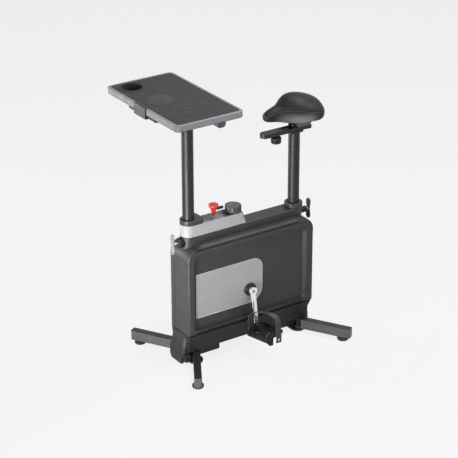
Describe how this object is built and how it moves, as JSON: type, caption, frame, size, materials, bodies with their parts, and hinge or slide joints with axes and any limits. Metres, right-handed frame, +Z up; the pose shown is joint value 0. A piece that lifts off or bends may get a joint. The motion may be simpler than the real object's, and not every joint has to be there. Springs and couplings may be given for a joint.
{
  "type": "desk exercise bike",
  "caption": "Folding exercise bike: a closed pedal housing on swivel legs, with a height-adjustable desk in front and a sliding saddle behind.",
  "frame": {"origin": "bottom centre of the whole object's bounding box, on the floor", "axes": "+Z up; +X from the desk post towards the saddle post; -Y is the rider's left side, where the crank points down; the rider faces -X"},
  "size_m": [0.903, 0.5494, 1.2109],
  "materials": {
    "dark_plastic": "fine-grained satin",
    "black_plastic": "satin",
    "silver_panel": "brushed silver, satin",
    "silver_plastic": "silver, satin",
    "grey_paint": "powder coat",
    "frame_paint": "powder coat",
    "post_steel": "satin dark grey",
    "bright_steel": "turned",
    "crank_alloy": "satin",
    "cast_iron": "machined",
    "rubber": "matt",
    "nylon": "natural",
    "red_plastic": "satin",
    "desk_edge": "light grey, satin",
    "desk_mat": "fine-grained",
    "saddle_cover": "black leathercloth",
    "saddle_shell": "satin"
  },
  "bodies": {
    "housing": {"base_frame": "frame_paint", "base_apron": "dark_plastic", "centre_band": "dark_plastic", "left_side_shell": "dark_plastic", "right_side_shell": "dark_plastic", "left_trim_panel": "silver_panel", "right_trim_panel": "silver_panel", "top_housing": "dark_plastic", "console_cover": "silver_plastic", "desk_post_collar": "dark_plastic", "seat_post_collar": "dark_plastic", "main_frame": "frame_paint", "desk_post_bush": "nylon", "seat_post_bush": "nylon", "front_lock_boss": "black_plastic", "rear_lock_boss": "black_plastic", "left_crank_seal": "black_plastic", "right_crank_seal": "black_plastic", "drive_belt": "rubber"},
    "desk": {"desk_post": "post_steel", "desk_cross_beam": "desk_edge", "desktop": "desk_edge", "desk_mat": "desk_mat", "cup_holder": "black_plastic", "front_clip": "black_plastic"},
    "seat": {"seat_post": "post_steel", "seat_rail": "frame_paint"},
    "saddle": {"saddle_carriage": "frame_paint", "saddle_base": "saddle_shell", "saddle_cushion": "saddle_cover"},
    "clamp": {"slider_knob": "black_plastic"},
    "front_pin": {"front_lock_pin": "bright_steel"},
    "front_handle": {"front_lock_handle": "grey_paint"},
    "rear_pin": {"rear_lock_pin": "bright_steel"},
    "rear_handle": {"rear_lock_handle": "grey_paint"},
    "dial": {"dial_knob": "black_plastic"},
    "brake": {"brake_rod": "bright_steel", "brake_pad": "rubber"},
    "brake_cap": {"brake_knob": "red_plastic", "brake_stub": "black_plastic"},
    "crank": {"crank_spindle": "bright_steel", "left_crank_arm": "crank_alloy", "right_crank_arm": "crank_alloy", "drive_pulley": "black_plastic"},
    "flywheel": {"flywheel": "cast_iron"},
    "left_pedal_set": {"left_pedal": "black_plastic", "left_pedal_strap": "rubber"},
    "right_pedal_set": {"right_pedal": "black_plastic", "right_pedal_strap": "rubber"},
    "front_left_leg_set": {"front_left_leg": "grey_paint", "front_left_foot": "rubber"},
    "front_right_leg_set": {"front_right_leg": "grey_paint", "front_right_foot": "rubber"},
    "rear_left_leg_set": {"rear_left_leg": "grey_paint", "rear_left_foot": "rubber"},
    "rear_right_leg_set": {"rear_right_leg": "grey_paint", "rear_right_foot": "rubber"},
    "left_wheel": {"left_transport_wheel": "rubber"},
    "right_wheel": {"right_transport_wheel": "rubber"}
  },
  "joints": [
    {"name": "desk_height", "type": "slide", "parent": "housing", "child": "desk", "axis": [0, 0, 1], "range_m": [-0.343, 0]},
    {"name": "seat_height", "type": "slide", "parent": "housing", "child": "seat", "axis": [0, 0, 1], "range_m": [-0.245, 0]},
    {"name": "saddle_slide", "type": "slide", "parent": "seat", "child": "saddle", "axis": [1, 0, 0], "range_m": [-0.04, 0.033]},
    {"name": "clamp_turn", "type": "hinge", "parent": "saddle", "child": "clamp", "pos_m": [0.21616, 0, 0.9275], "axis": [0, 0, 1], "range_deg": [-180, 180]},
    {"name": "front_pin_pull", "type": "slide", "parent": "housing", "child": "front_pin", "axis": [-1, 0, 0], "range_m": [0, 0.012], "stiffness_N_per_m": 700},
    {"name": "front_handle_turn", "type": "hinge", "parent": "front_pin", "child": "front_handle", "pos_m": [-0.30654, 0, 0.5585], "axis": [1, 0, 0], "range_deg": [-90, 90]},
    {"name": "rear_pin_pull", "type": "slide", "parent": "housing", "child": "rear_pin", "axis": [1, 0, 0], "range_m": [0, 0.012], "stiffness_N_per_m": 700},
    {"name": "rear_handle_turn", "type": "hinge", "parent": "rear_pin", "child": "rear_handle", "pos_m": [0.39156, 0, 0.5535], "axis": [1, 0, 0], "range_deg": [-90, 90]},
    {"name": "dial_turn", "type": "hinge", "parent": "housing", "child": "dial", "pos_m": [-0.00333, 0, 0.625], "axis": [0, 0, 1], "range_deg": [-135, 135]},
    {"name": "brake_push", "type": "slide", "parent": "housing", "child": "brake", "axis": [0, 0, 1], "range_m": [-0.003, 0], "stiffness_N_per_m": 2500, "springref_m": 0.003},
    {"name": "brake_cap_turn", "type": "hinge", "parent": "brake", "child": "brake_cap", "pos_m": [-0.10224, 0, 0.67], "axis": [0, 0, 1], "range_deg": [-90, 90]},
    {"name": "crank_spin", "type": "hinge", "parent": "housing", "child": "crank", "pos_m": [0.04142, 0, 0.281], "axis": [0, 1, 0], "continuous": true},
    {"name": "flywheel_spin", "type": "hinge", "parent": "housing", "child": "flywheel", "pos_m": [-0.10224, 0, 0.395], "axis": [0, 1, 0], "continuous": true},
    {"name": "left_pedal_spin", "type": "hinge", "parent": "crank", "child": "left_pedal_set", "pos_m": [0.05436, -0.158, 0.11651], "axis": [0, 1, 0], "continuous": true},
    {"name": "right_pedal_spin", "type": "hinge", "parent": "crank", "child": "right_pedal_set", "pos_m": [0.02847, 0.158, 0.44549], "axis": [0, 1, 0], "continuous": true},
    {"name": "front_left_leg_swivel", "type": "hinge", "parent": "housing", "child": "front_left_leg_set", "pos_m": [-0.22784, -0.052, 0.0375], "axis": [0, 0, 1], "range_deg": [0, 121]},
    {"name": "front_right_leg_swivel", "type": "hinge", "parent": "housing", "child": "front_right_leg_set", "pos_m": [-0.22784, 0.052, 0.0375], "axis": [0, 0, 1], "range_deg": [-121, 0]},
    {"name": "rear_left_leg_swivel", "type": "hinge", "parent": "housing", "child": "rear_left_leg_set", "pos_m": [0.31067, -0.052, 0.0375], "axis": [0, 0, 1], "range_deg": [-121, 0]},
    {"name": "rear_right_leg_swivel", "type": "hinge", "parent": "housing", "child": "rear_right_leg_set", "pos_m": [0.31067, 0.052, 0.0375], "axis": [0, 0, 1], "range_deg": [0, 121]},
    {"name": "left_wheel_roll", "type": "hinge", "parent": "housing", "child": "left_wheel", "pos_m": [-0.27283, -0.04575, 0.031], "axis": [0, 1, 0], "continuous": true},
    {"name": "right_wheel_roll", "type": "hinge", "parent": "housing", "child": "right_wheel", "pos_m": [-0.27283, 0.04575, 0.031], "axis": [0, 1, 0], "continuous": true}
  ],
  "couplings": [
    {"joint": "flywheel_spin", "follows": "crank_spin", "ratio": 4.25}
  ]
}
